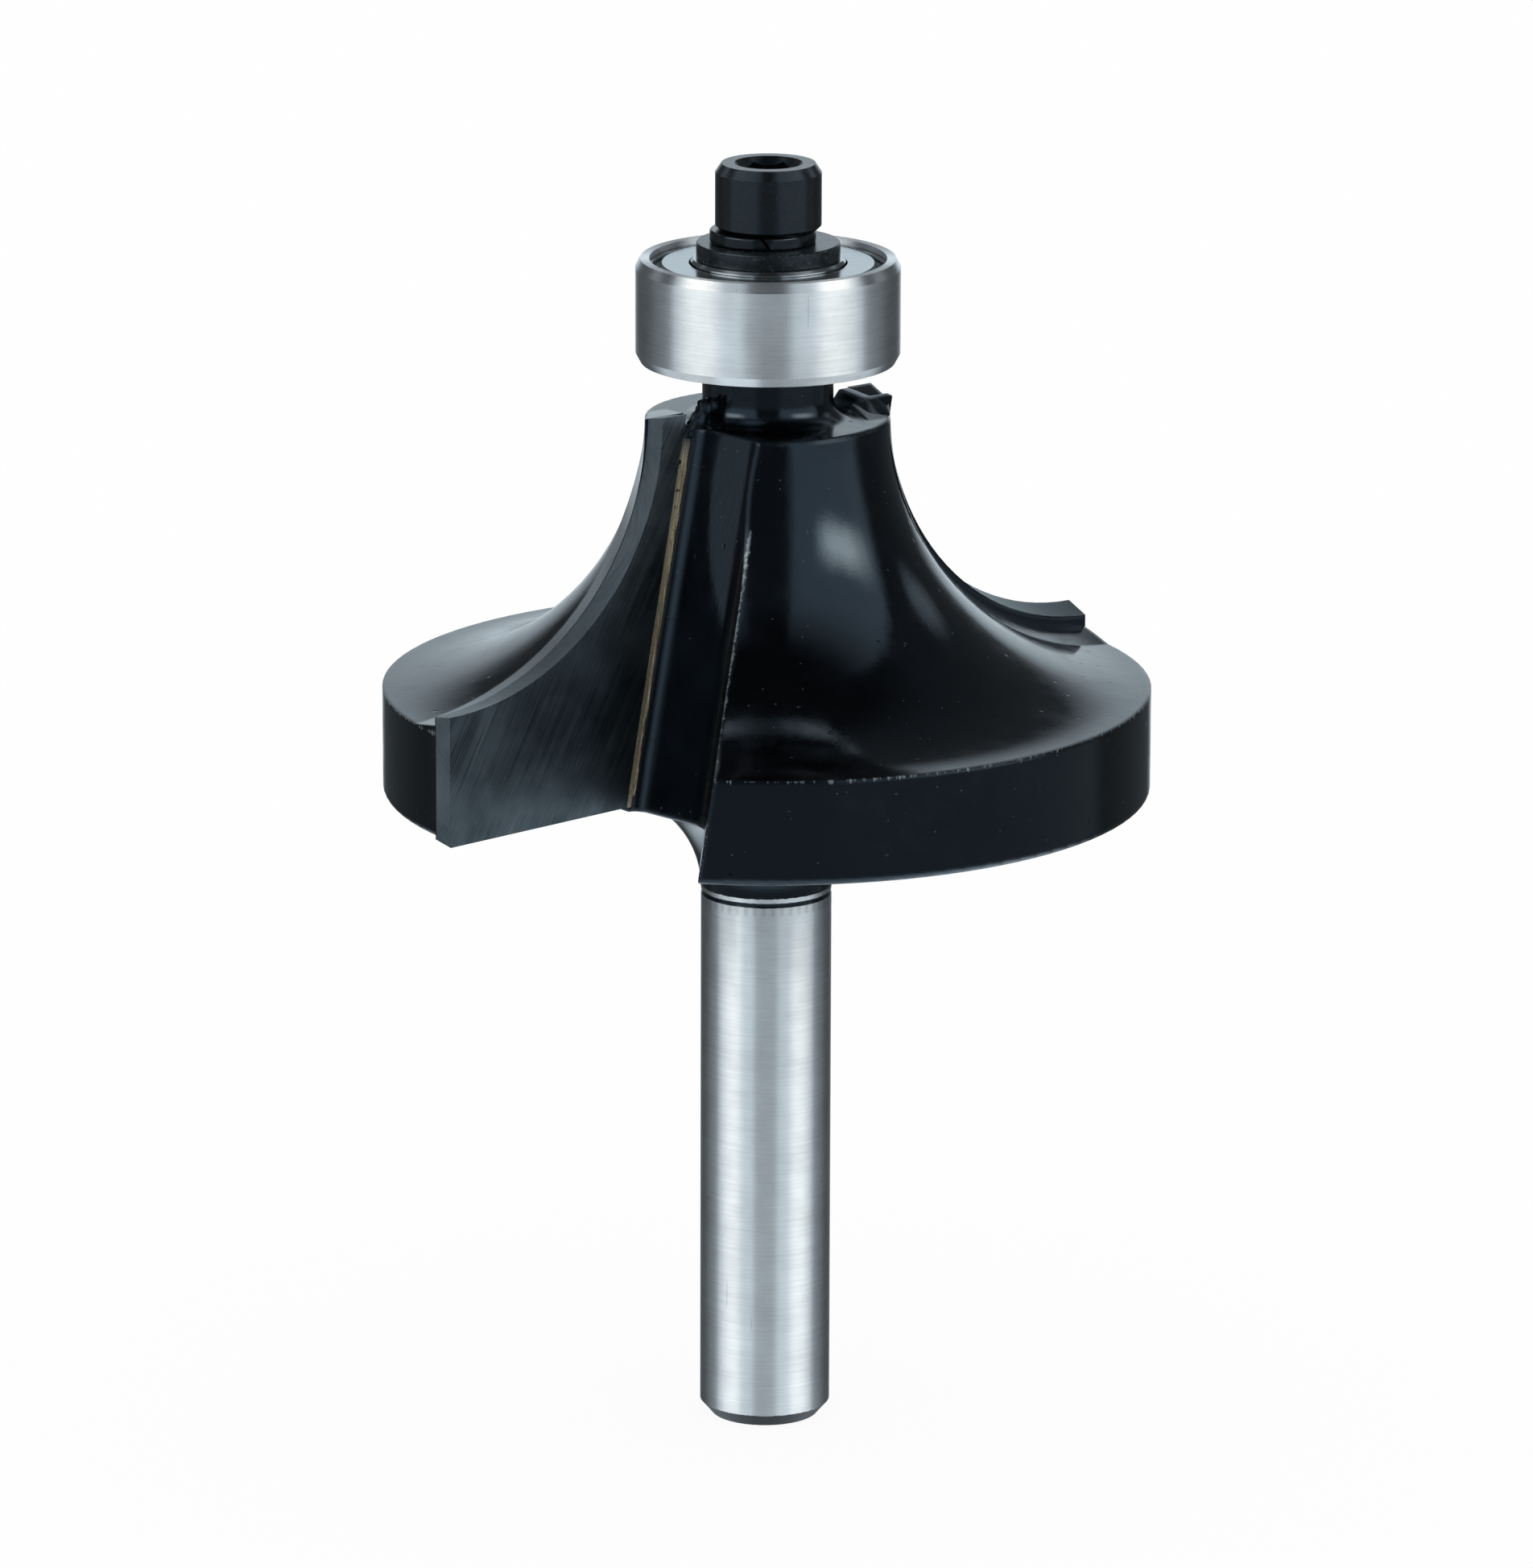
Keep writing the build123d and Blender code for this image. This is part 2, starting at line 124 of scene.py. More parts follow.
def light_studio():
    """White surroundings; gloss sees two soft boxes, a dark gap at the camera and a lit backdrop."""
    world = bpy.data.worlds.new("studio")
    scene.world = world
    world.use_nodes = True
    tree = world.node_tree
    tree.nodes.clear()
    way = add(tree, "ShaderNodeTexCoord").outputs["Generated"]
    xyz = add(tree, "ShaderNodeSeparateXYZ", {0: way})
    ahead = add(tree, "ShaderNodeMath", {0: xyz.outputs["Y"], 1: -1.0}, operation="MULTIPLY")
    turn = add(tree, "ShaderNodeMath", {0: xyz.outputs["X"], 1: ahead}, operation="ARCTAN2")
    azimuth = add(tree, "ShaderNodeMath", {0: turn}, operation="DEGREES")
    side = add(tree, "ShaderNodeMath", {0: azimuth}, operation="ABSOLUTE")
    rise = add(tree, "ShaderNodeMath", {0: xyz.outputs["Z"]}, operation="ARCSINE")
    elevation = add(tree, "ShaderNodeMath", {0: rise}, operation="DEGREES")
    # Below, side is the turn away from the photographer and elevation the height, both in degrees

    # Two soft boxes, one each side, that lean back as they rise
    soft = {"interpolation_type": "SMOOTHSTEP"}
    leaning = add(tree, "ShaderNodeMath", {0: elevation, 1: -0.2, 2: side}, operation="MULTIPLY_ADD")
    near = add(tree, "ShaderNodeMapRange", {0: side, 1: 17.0, 2: 24.0}, **soft)
    far = add(tree, "ShaderNodeMapRange", {0: leaning, 1: 86.0, 2: 96.0, 3: 1.0, 4: 0.0}, **soft)
    above = add(tree, "ShaderNodeMapRange", {0: elevation, 1: 45.0, 2: 76.0, 3: 1.0, 4: 0.0}, **soft)
    below = add(tree, "ShaderNodeMapRange", {0: elevation, 1: -15.0, 2: -8.0, 3: 0.0, 4: 0.82}, **soft)
    across = add(tree, "ShaderNodeMath", {0: near, 1: far}, operation="MULTIPLY")
    upright = add(tree, "ShaderNodeMath", {0: above, 1: below}, operation="MULTIPLY")
    box = add(tree, "ShaderNodeMath", {0: across, 1: upright}, operation="MULTIPLY")
    # Their hot middles, which the cove shows as two bright spots
    near = add(tree, "ShaderNodeMapRange", {0: side, 1: 38.0, 2: 56.0}, **soft)
    far = add(tree, "ShaderNodeMapRange", {0: side, 1: 68.0, 2: 96.0, 3: 4.8, 4: 0.0}, **soft)
    above = add(tree, "ShaderNodeMapRange", {0: elevation, 1: 25.0, 2: 37.0, 3: 1.0, 4: 0.0}, **soft)
    below = add(tree, "ShaderNodeMapRange", {0: elevation, 1: 13.0, 2: 24.0}, **soft)
    across = add(tree, "ShaderNodeMath", {0: near, 1: far}, operation="MULTIPLY")
    upright = add(tree, "ShaderNodeMath", {0: above, 1: below}, operation="MULTIPLY")
    hot = add(tree, "ShaderNodeMath", {0: across, 1: upright}, operation="MULTIPLY")
    # Two weak strips further back
    near = add(tree, "ShaderNodeMapRange", {0: side, 1: 111.0, 2: 121.0}, **soft)
    far = add(tree, "ShaderNodeMapRange", {0: side, 1: 126.0, 2: 140.0, 3: 0.8, 4: 0.0}, **soft)
    across = add(tree, "ShaderNodeMath", {0: near, 1: far}, operation="MULTIPLY")
    strips = add(tree, "ShaderNodeMath", {0: across, 1: upright}, operation="MULTIPLY")
    boxes = add(tree, "ShaderNodeMath", {0: box, 1: hot}, operation="ADD")
    boxes = add(tree, "ShaderNodeMath", {0: boxes, 1: strips}, operation="ADD")
    # The lit backdrop behind the bit, widest at the horizon, the table below, and a dark room above
    back = add(tree, "ShaderNodeMath", {0: 180.0, 1: side}, operation="SUBTRACT")
    lift = add(tree, "ShaderNodeMath", {0: elevation, 1: 3.0}, operation="SUBTRACT")
    lift = add(tree, "ShaderNodeMath", {0: lift}, operation="ABSOLUTE")
    spread = add(tree, "ShaderNodeMath", {0: back, 1: lift}, operation="ADD")
    backdrop = add(tree, "ShaderNodeMapRange", {0: spread, 1: 18.0, 2: 37.0, 3: 1.05, 4: 0.0}, **soft)
    dimmer = add(tree, "ShaderNodeMapRange", {0: xyz.outputs["X"], 1: -0.5, 2: 0.3, 3: 0.62, 4: 1.0}, **soft)
    backdrop = add(tree, "ShaderNodeMath", {0: backdrop, 1: dimmer}, operation="MULTIPLY")
    under = add(tree, "ShaderNodeMapRange", {0: elevation, 1: -72.0, 2: -50.0, 3: 0.8, 4: 2.2}, **soft)
    rest = add(tree, "ShaderNodeMapRange", {0: side, 1: 112.0, 2: 124.0, 3: 0.25, 4: 0.04}, **soft)
    table = add(tree, "ShaderNodeMapRange", {0: elevation, 1: -50.0, 2: -26.0, 3: under, 4: rest}, **soft)
    edge = add(tree, "ShaderNodeMapRange", {0: elevation, 1: -14.0, 2: -6.0, 3: 1.0, 4: 0.0}, **soft)
    table = add(tree, "ShaderNodeMath", {0: table, 1: edge}, operation="MULTIPLY")
    room = add(tree, "ShaderNodeMapRange", {0: elevation, 1: 50.0, 2: 66.0, 3: 0.09, 4: 0.02}, **soft)
    lit = add(tree, "ShaderNodeMath", {0: boxes, 1: backdrop}, operation="MAXIMUM")
    lit = add(tree, "ShaderNodeMath", {0: lit, 1: table}, operation="MAXIMUM")
    lit = add(tree, "ShaderNodeMath", {0: lit, 1: room}, operation="MAXIMUM")

    path = add(tree, "ShaderNodeLightPath")
    strength = add(tree, "ShaderNodeMix", {0: path.outputs["Is Glossy Ray"], 2: 1.0, 3: lit})
    warmth = add(tree, "ShaderNodeMath", {0: hot, 1: 0.4}, operation="MULTIPLY")
    cast = add(
        tree, "ShaderNodeMix", {0: warmth, 6: linear("#e7f6ff"), 7: linear("#fffdf3")}, data_type="RGBA"
    )
    cast = add(
        tree, "ShaderNodeMix", {0: path.outputs["Is Glossy Ray"], 6: (1, 1, 1, 1), 7: cast}, data_type="RGBA"
    )
    background = add(tree, "ShaderNodeBackground", {"Color": cast, "Strength": strength})
    add(tree, "ShaderNodeOutputWorld", {"Surface": background})


def lay_floor():
    """A plain pale table that keeps a faint shadow."""
    bpy.ops.mesh.primitive_plane_add(size=6.0, location=(0, 0, 0))
    floor = bpy.context.object
    floor.name = "floor"
    material, tree, _ = new_material("pale_table")
    diffuse = add(tree, "ShaderNodeBsdfDiffuse", {"Color": linear("#f4f4f4")})
    white = add(tree, "ShaderNodeEmission", {"Color": (1, 1, 1, 1), "Strength": 1.0})
    path = add(tree, "ShaderNodeLightPath")
    share = add(tree, "ShaderNodeMath", {0: path.outputs["Is Camera Ray"], 1: 0.93}, operation="MULTIPLY")
    mixed = add(tree, "ShaderNodeMixShader", {0: share, 1: diffuse, 2: white})
    add(tree, "ShaderNodeOutputMaterial", {"Surface": mixed})
    floor.data.materials.append(material)
    floor.visible_glossy = False


# ---------------------------------------------------------------- finishes


def tip_space(tree, mm):
    """Distance out along a tip and distance in front of its rake face, the same for both tips."""
    turn = math.radians(TIP_ANGLE)
    along = (math.cos(turn), math.sin(turn), 0)
    ahead = (-math.sin(turn), math.cos(turn), 0)
    reach = add(tree, "ShaderNodeVectorMath", {0: mm, 1: along}, operation="DOT_PRODUCT")
    front = add(tree, "ShaderNodeVectorMath", {0: mm, 1: ahead}, operation="DOT_PRODUCT")
    half = add(tree, "ShaderNodeMath", {0: reach.outputs["Value"]}, operation="SIGN")
    out = add(tree, "ShaderNodeMath", {0: reach.outputs["Value"]}, operation="ABSOLUTE")
    front = add(tree, "ShaderNodeMath", {0: front.outputs["Value"], 1: half}, operation="MULTIPLY")
    return out, front


def ground_finish(tree, mm, colour, roughness):
    """Steel ground round Z: fine lines round it spread its reflections up and down."""
    # Grinding grit leaves lines 0.01 to 0.03 mm apart; they are drawn 0.08 mm apart to show
    lines = add(tree, "ShaderNodeVectorMath", {0: mm, 1: (0.3, 0.3, 12.0)}, operation="MULTIPLY")
    grain = add(tree, "ShaderNodeTexNoise", {"Vector": lines, "Scale": 1.0, "Detail": 3.0, "Roughness": 0.7})
    patches = add(tree, "ShaderNodeTexNoise", {"Vector": mm, "Scale": 0.45, "Detail": 4.0, "Roughness": 0.6})
    both = add(tree, "ShaderNodeMath", {0: grain, 1: patches}, operation="ADD")
    dark = [c * 0.8 for c in linear(colour)[:3]] + [1.0]
    tone = add(tree, "ShaderNodeMapRange", {0: both, 1: 0.75, 2: 1.25})
    tint = add(tree, "ShaderNodeMix", {0: tone, 6: dark, 7: linear(colour)}, data_type="RGBA")
    matt = add(
        tree, "ShaderNodeMapRange", {0: grain, 1: 0.3, 2: 0.7, 3: roughness - 0.06, 4: roughness + 0.06}
    )
    # A few scratches run down it
    long_way = add(tree, "ShaderNodeVectorMath", {0: mm, 1: (5.0, 5.0, 0.22)}, operation="MULTIPLY")
    cells = add(tree, "ShaderNodeTexNoise", {"Vector": long_way, "Scale": 1.0, "Detail": 1.0})
    scratch = add(tree, "ShaderNodeMapRange", {0: cells, 1: 0.77, 2: 0.8, 3: 0.0, 4: 0.5})
    tint = add(tree, "ShaderNodeMix", {0: scratch, 6: tint, 7: linear("#a9b1b6")}, data_type="RGBA")
    bump = add(tree, "ShaderNodeBump", {"Strength": 0.25, "Distance": 2e-6, "Height": grain})
    tangent = add(tree, "ShaderNodeTangent", direction_type="RADIAL", axis="Z")
    return add(
        tree,
        "ShaderNodeBsdfPrincipled",
        {
            "Base Color": tint,
            "Metallic": 1.0,
            "Roughness": matt,
            "Anisotropic": 1.0,
            "Anisotropic Rotation": 0.25,
            "Normal": bump,
            "Tangent": tangent,
        },
    )


def gloss_coat(tree, mm, worn):
    """Baked black lacquer: deep gloss with a bluish cast, dust nibs, pits and bare worn edges."""
    # Dust nibs of 0.1 mm, one or so a millimetre, and pits of 0.2 mm further apart
    cells = add(tree, "ShaderNodeTexVoronoi", {"Vector": mm, "Scale": 1.5, "Randomness": 1.0})
    pick = add(tree, "ShaderNodeSeparateColor", {0: cells.outputs["Color"]})
    few = add(tree, "ShaderNodeMath", {0: pick.outputs[0], 1: 0.35}, operation="GREATER_THAN")
    nib = add(tree, "ShaderNodeMapRange", {0: cells.outputs["Distance"], 1: 0.03, 2: 0.08, 3: 1.0, 4: 0.0})
    nib = add(tree, "ShaderNodeMath", {0: nib, 1: few}, operation="MULTIPLY")
    wide = add(tree, "ShaderNodeVectorMath", {0: mm, 1: (0.75, 0.8, 0.55)}, operation="MULTIPLY")
    holes = add(tree, "ShaderNodeTexVoronoi", {"Vector": wide, "Scale": 1.0, "Randomness": 1.0})
    pit = add(tree, "ShaderNodeMapRange", {0: holes.outputs["Distance"], 1: 0.04, 2: 0.1, 3: 1.0, 4: 0.0})
    tint = add(tree, "ShaderNodeMix", {0: nib, 6: linear("#020203"), 7: linear("#3c444a")}, data_type="RGBA")
    tint = add(tree, "ShaderNodeMix", {0: worn, 6: tint, 7: linear("#98a3a8")}, data_type="RGBA")
    peel = add(tree, "ShaderNodeTexNoise", {"Vector": mm, "Scale": 5.0, "Detail": 3.0, "Roughness": 0.6})
    cloud = add(tree, "ShaderNodeTexNoise", {"Vector": mm, "Scale": 0.6, "Detail": 5.0, "Roughness": 0.65})
    matt = add(tree, "ShaderNodeMapRange", {0: cloud, 1: 0.35, 2: 0.7, 3: 0.08, 4: 0.2})
    matt = add(tree, "ShaderNodeMix", {0: worn, 2: matt, 3: 0.42})
    height = add(tree, "ShaderNodeMath", {0: pit, 1: -4.0, 2: peel}, operation="MULTIPLY_ADD")
    # The lacquer drew back from sharp edges and pooled in corners, so both catch light as if rounded
    rounded = add(tree, "ShaderNodeBevel", {"Radius": 0.28 * MM}, samples=4)
    bump = add(
        tree, "ShaderNodeBump", {"Strength": 0.7, "Distance": 3.5e-6, "Height": height, "Normal": rounded}
    )
    return add(
        tree,
        "ShaderNodeBsdfPrincipled",
        {
            "Base Color": tint,
            "Metallic": worn,
            "Roughness": matt,
            "IOR": 1.6,
            "Specular Tint": linear("#cfe8ff"),
            "Normal": bump,
        },
    )


def coated_steel():
    """Tool steel: ground shank, black end, and a black lacquered head with worn edges."""
    material, tree, mm = new_material("lacquered_tool_steel")
    height = add(tree, "ShaderNodeSeparateXYZ", {0: mm}).outputs["Z"]
    flat = add(tree, "ShaderNodeVectorMath", {0: mm, 1: (1, 1, 0)}, operation="MULTIPLY")
    radius = add(tree, "ShaderNodeVectorMath", {0: flat}, operation="LENGTH")
    section = add(tree, "ShaderNodeCombineXYZ", {"X": radius, "Y": height})
    rough = add(tree, "ShaderNodeTexNoise", {"Vector": mm, "Scale": 3.0, "Detail": 4.0, "Roughness": 0.7})
    out, front = tip_space(tree, mm)

    # How far a point is from the ridge round the cove's foot, and from the outer skin
    ridge = add(
        tree, "ShaderNodeVectorMath", {0: section, 1: (HEAD_RADIUS, RIDGE_HEIGHT, 0)}, operation="DISTANCE"
    )
    cove = add(
        tree, "ShaderNodeVectorMath", {0: section, 1: (COVE_CENTRE, CROWN_HEIGHT, 0)}, operation="DISTANCE"
    )
    skin = add(tree, "ShaderNodeMath", {0: cove, 1: COVE_RADIUS}, operation="SUBTRACT")
    inset = add(tree, "ShaderNodeMath", {0: HEAD_RADIUS, 1: radius}, operation="SUBTRACT")
    skin = add(tree, "ShaderNodeMath", {0: skin, 1: inset}, operation="MINIMUM")
    skin = add(tree, "ShaderNodeMath", {0: skin}, operation="ABSOLUTE")
    # How far it is from the gullet's trailing wall
    wall = math.radians(GULLET_WALL_ANGLE)
    drop = add(tree, "ShaderNodeMath", {0: TIP_TOP, 1: height}, operation="SUBTRACT")
    floor_top = TIP_INNER - GULLET_FLOOR_INSET
    foot = add(tree, "ShaderNodeMath", {0: drop, 1: GULLET_LEAN, 2: floor_top}, operation="MULTIPLY_ADD")
    away = add(tree, "ShaderNodeMath", {0: out, 1: foot}, operation="SUBTRACT")
    away = add(tree, "ShaderNodeMath", {0: away, 1: math.sin(wall)}, operation="MULTIPLY")
    reach = {0: front, 1: -math.cos(wall), 2: GULLET_FLOOR_WIDTH * math.cos(wall)}
    beyond = add(tree, "ShaderNodeMath", reach, operation="MULTIPLY_ADD")
    offset = add(tree, "ShaderNodeMath", {0: away, 1: beyond}, operation="ADD")
    offset = add(tree, "ShaderNodeMath", {0: offset}, operation="ABSOLUTE")
    edge = add(tree, "ShaderNodeMath", {0: offset, 1: skin}, operation="MAXIMUM")
    # Chips have rubbed both edges bare in patches, with short streaks across the ridge
    way_round = add(tree, "ShaderNodeVectorMath", {0: flat}, operation="NORMALIZE")
    way_round = add(tree, "ShaderNodeVectorMath", {0: way_round, "Scale": 60.0}, operation="SCALE")
    streaks = add(
        tree, "ShaderNodeTexNoise", {"Vector": way_round, "Scale": 1.0, "Detail": 5.0, "Roughness": 0.7}
    )
    near_ridge = {0: streaks, 1: -1.1, 2: ridge.outputs["Value"]}
    near_ridge = add(tree, "ShaderNodeMath", near_ridge, operation="MULTIPLY_ADD")
    ridge_worn = add(tree, "ShaderNodeMapRange", {0: near_ridge, 1: -0.62, 2: -0.5, 3: 0.8, 4: 0.0})
    near_edge = add(tree, "ShaderNodeMath", {0: rough, 1: -0.55, 2: edge}, operation="MULTIPLY_ADD")
    high = add(tree, "ShaderNodeMapRange", {0: height, 1: 45.4, 2: 46.2, 3: 0.0, 4: 0.16})
    low = add(tree, "ShaderNodeMapRange", {0: height, 1: 37.0, 2: 41.0, 3: 0.08, 4: 0.0})
    near_edge = add(tree, "ShaderNodeMath", {0: near_edge, 1: high}, operation="ADD")
    near_edge = add(tree, "ShaderNodeMath", {0: near_edge, 1: low}, operation="ADD")
    edge_worn = add(tree, "ShaderNodeMapRange", {0: near_edge, 1: -0.26, 2: -0.16, 3: 0.8, 4: 0.0})
    worn = add(tree, "ShaderNodeMath", {0: ridge_worn, 1: edge_worn}, operation="MAXIMUM")
    coat = gloss_coat(tree, mm, worn)

    # The coat's ragged lower edge, the lacquer left in the groove, and the black end
    # The ground steel's colour is painted near white, brighter than steel's own: painted light that brightens
    # its reflections
    steel = ground_finish(tree, mm, "#fcfcfd", 0.39)
    ragged = add(tree, "ShaderNodeMath", {0: rough, 1: 0.14, 2: height}, operation="MULTIPLY_ADD")
    coated = add(tree, "ShaderNodeMapRange", {0: ragged, 1: COAT_EDGE + 0.06, 2: COAT_EDGE + 0.08})
    above = add(tree, "ShaderNodeMath", {0: height, 1: COAT_EDGE - 0.86}, operation="GREATER_THAN")
    sunk = {0: radius, 1: SHANK_RADIUS - 0.02, 2: SHANK_RADIUS - 0.005, 3: 1.0, 4: 0.0}
    sunk = add(tree, "ShaderNodeMapRange", sunk)
    sunk = add(tree, "ShaderNodeMath", {0: sunk, 1: above}, operation="MULTIPLY")
    black = add(tree, "ShaderNodeMath", {0: coated, 1: sunk}, operation="MAXIMUM")
    head = add(tree, "ShaderNodeMixShader", {0: black, 1: steel, 2: coat})
    oxide = add(
        tree,
        "ShaderNodeBsdfPrincipled",
        {"Base Color": linear("#0b0f14"), "Roughness": 0.55, "Specular IOR Level": 0.35},
    )
    end = add(tree, "ShaderNodeMath", {0: rough, 1: 0.1, 2: height}, operation="MULTIPLY_ADD")
    end = add(
        tree, "ShaderNodeMapRange", {0: end, 1: CHAMFER_TOP + 0.03, 2: CHAMFER_TOP + 0.06, 3: 1.0, 4: 0.0}
    )
    whole = add(tree, "ShaderNodeMixShader", {0: end, 1: head, 2: oxide})
    add(tree, "ShaderNodeOutputMaterial", {"Surface": whole})
    return material


def lacquer():
    """The same black lacquer, on the small built-up lumps round the tips."""
    material, tree, mm = new_material("black_lacquer")
    coat = gloss_coat(tree, mm, 0.0)
    add(tree, "ShaderNodeOutputMaterial", {"Surface": coat})
    return material


def ground_carbide():
    """Sintered carbide: dark grey and satin, with diamond grinding lines across each face."""
    material, tree, mm = new_material("ground_carbide")
    out, front = tip_space(tree, mm)
    height = add(tree, "ShaderNodeSeparateXYZ", {0: mm}).outputs["Z"]
    # Lines lean on the rake face. Diamond grit leaves them 0.01 mm apart; they are drawn 0.05 to show
    across = add(tree, "ShaderNodeMath", {0: height, 1: 0.55, 2: out}, operation="MULTIPLY_ADD")
    across = add(tree, "ShaderNodeMath", {0: across, 1: 20.0}, operation="MULTIPLY")
    along = add(tree, "ShaderNodeMath", {0: height, 1: 0.15}, operation="MULTIPLY")
    lines = add(tree, "ShaderNodeCombineXYZ", {"X": across, "Y": along, "Z": front})
    grain = add(tree, "ShaderNodeTexNoise", {"Vector": lines, "Scale": 1.0, "Detail": 4.0, "Roughness": 0.65})
    cloud = add(tree, "ShaderNodeTexNoise", {"Vector": mm, "Scale": 0.35, "Detail": 3.0})
    both = add(tree, "ShaderNodeMath", {0: grain, 1: cloud}, operation="ADD")
    tone = add(tree, "ShaderNodeMapRange", {0: both, 1: 0.75, 2: 1.25})
    rake = add(tree, "ShaderNodeMix", {0: tone, 6: linear("#566067"), 7: linear("#96a1a8")}, data_type="RGBA")
    flank = add(
        tree, "ShaderNodeMix", {0: tone, 6: linear("#76828a"), 7: linear("#959fa6")}, data_type="RGBA"
    )
    behind = add(tree, "ShaderNodeMapRange", {0: front, 1: -0.03, 2: -0.01, 3: 1.0, 4: 0.0})
    tint = add(tree, "ShaderNodeMix", {0: behind, 6: rake, 7: flank}, data_type="RGBA")
    matt = add(tree, "ShaderNodeMapRange", {0: grain, 1: 0.3, 2: 0.7, 3: 0.25, 4: 0.36})
    matt = add(tree, "ShaderNodeMath", {0: behind, 1: 0.18, 2: matt}, operation="MULTIPLY_ADD")
    bump = add(tree, "ShaderNodeBump", {"Strength": 0.4, "Distance": 3e-6, "Height": grain})
    values = {"Base Color": tint, "Metallic": 1.0, "Roughness": matt, "Normal": bump}
    bare = add(tree, "ShaderNodeBsdfPrincipled", values)
    # The lacquer has run over the top of the back tip
    facing = add(tree, "ShaderNodeTexCoord").outputs["Normal"]
    up = add(tree, "ShaderNodeSeparateXYZ", {0: facing}).outputs["Z"]
    up = add(tree, "ShaderNodeMath", {0: up, 1: 0.7}, operation="GREATER_THAN")
    top = add(tree, "ShaderNodeMath", {0: height, 1: TIP_TOP - 0.6}, operation="GREATER_THAN")
    back = add(tree, "ShaderNodeSeparateXYZ", {0: mm}).outputs["Y"]
    back = add(tree, "ShaderNodeMath", {0: back, 1: 0.0}, operation="GREATER_THAN")
    covered = add(tree, "ShaderNodeMath", {0: up, 1: top}, operation="MULTIPLY")
    covered = add(tree, "ShaderNodeMath", {0: covered, 1: back}, operation="MULTIPLY")
    mixed = add(tree, "ShaderNodeMixShader", {0: covered, 1: bare, 2: gloss_coat(tree, mm, 0.0)})
    add(tree, "ShaderNodeOutputMaterial", {"Surface": mixed})
    return material


def silver_braze():
    """Silver braze: a tan, pitted bead in front, under the black lacquer behind."""
    material, tree, mm = new_material("silver_braze")
    _, front = tip_space(tree, mm)
    height = add(tree, "ShaderNodeSeparateXYZ", {0: mm}).outputs["Z"]
    rough = add(tree, "ShaderNodeTexNoise", {"Vector": mm, "Scale": 2.2, "Detail": 5.0, "Roughness": 0.7})
    fine = add(tree, "ShaderNodeTexNoise", {"Vector": mm, "Scale": 9.0, "Detail": 2.0})
    tint = add(tree, "ShaderNodeMix", {0: fine, 6: linear("#b09f80"), 7: linear("#efe0c2")}, data_type="RGBA")
    grey = add(tree, "ShaderNodeMapRange", {0: height, 1: 48.6, 2: 49.6})
    tint = add(tree, "ShaderNodeMix", {0: grey, 6: tint, 7: linear("#7b8082")}, data_type="RGBA")
    # The pits are painted near black: painted shade in holes that are only bumps
    pits = add(tree, "ShaderNodeMapRange", {0: rough, 1: 0.62, 2: 0.66})
    tint = add(tree, "ShaderNodeMix", {0: pits, 6: tint, 7: linear("#16140f")}, data_type="RGBA")
    matt = add(tree, "ShaderNodeMapRange", {0: rough, 1: 0.3, 2: 0.7, 3: 0.38, 4: 0.55})
    bump = add(tree, "ShaderNodeBump", {"Strength": 0.8, "Distance": 2e-5, "Height": rough})
    values = {"Base Color": tint, "Metallic": 0.9, "Roughness": matt, "Normal": bump}
    bead = add(tree, "ShaderNodeBsdfPrincipled", values)
    depth = add(tree, "ShaderNodeMath", {0: rough, 1: 0.3, 2: front}, operation="MULTIPLY_ADD")
    covered = add(tree, "ShaderNodeMapRange", {0: depth, 1: -0.1, 2: -0.02, 3: 1.0, 4: 0.0})
    high = add(tree, "ShaderNodeMath", {0: rough, 1: 1.2, 2: height}, operation="MULTIPLY_ADD")
    high = add(tree, "ShaderNodeMapRange", {0: high, 1: 50.2, 2: 50.3})
    covered = add(tree, "ShaderNodeMath", {0: covered, 1: high}, operation="MAXIMUM")
    mixed = add(tree, "ShaderNodeMixShader", {0: covered, 1: bead, 2: gloss_coat(tree, mm, 0.0)})
    add(tree, "ShaderNodeOutputMaterial", {"Surface": mixed})
    return material


def bearing_steel(name, colour, roughness):
    """Bearing steel, ground or lapped round the ring, and bright on its chamfers."""
    material, tree, mm = new_material(name)
    finish = ground_finish(tree, mm, colour, roughness)
    add(tree, "ShaderNodeOutputMaterial", {"Surface": finish})
    return material


def pressed_steel():
    """Cold-rolled sheet: satin, with the fine marks of the press."""
    material, tree, mm = new_material("pressed_sheet_steel")
    marks = add(tree, "ShaderNodeTexNoise", {"Vector": mm, "Scale": 2.5, "Detail": 6.0, "Roughness": 0.7})
    tint = add(
        tree, "ShaderNodeMix", {0: marks, 6: linear("#8b9297"), 7: linear("#d6dce0")}, data_type="RGBA"
    )
    matt = add(tree, "ShaderNodeMapRange", {0: marks, 1: 0.3, 2: 0.7, 3: 0.14, 4: 0.26})
    bump = add(tree, "ShaderNodeBump", {"Strength": 0.3, "Distance": 4e-6, "Height": marks})
    values = {"Base Color": tint, "Metallic": 1.0, "Roughness": matt, "Normal": bump}
    add(tree, "ShaderNodeOutputMaterial", {"Surface": add(tree, "ShaderNodeBsdfPrincipled", values)})
    return material


def ball_steel():
    """Lapped ball steel: a near mirror with a faint haze."""
    material, tree, mm = new_material("lapped_ball_steel")
    haze = add(tree, "ShaderNodeTexNoise", {"Vector": mm, "Scale": 3.0, "Detail": 3.0})
    matt = add(tree, "ShaderNodeMapRange", {0: haze, 1: 0.3, 2: 0.7, 3: 0.05, 4: 0.12})
    values = {"Base Color": linear("#d8dcdf"), "Metallic": 1.0, "Roughness": matt}
    add(tree, "ShaderNodeOutputMaterial", {"Surface": add(tree, "ShaderNodeBsdfPrincipled", values)})
    return material


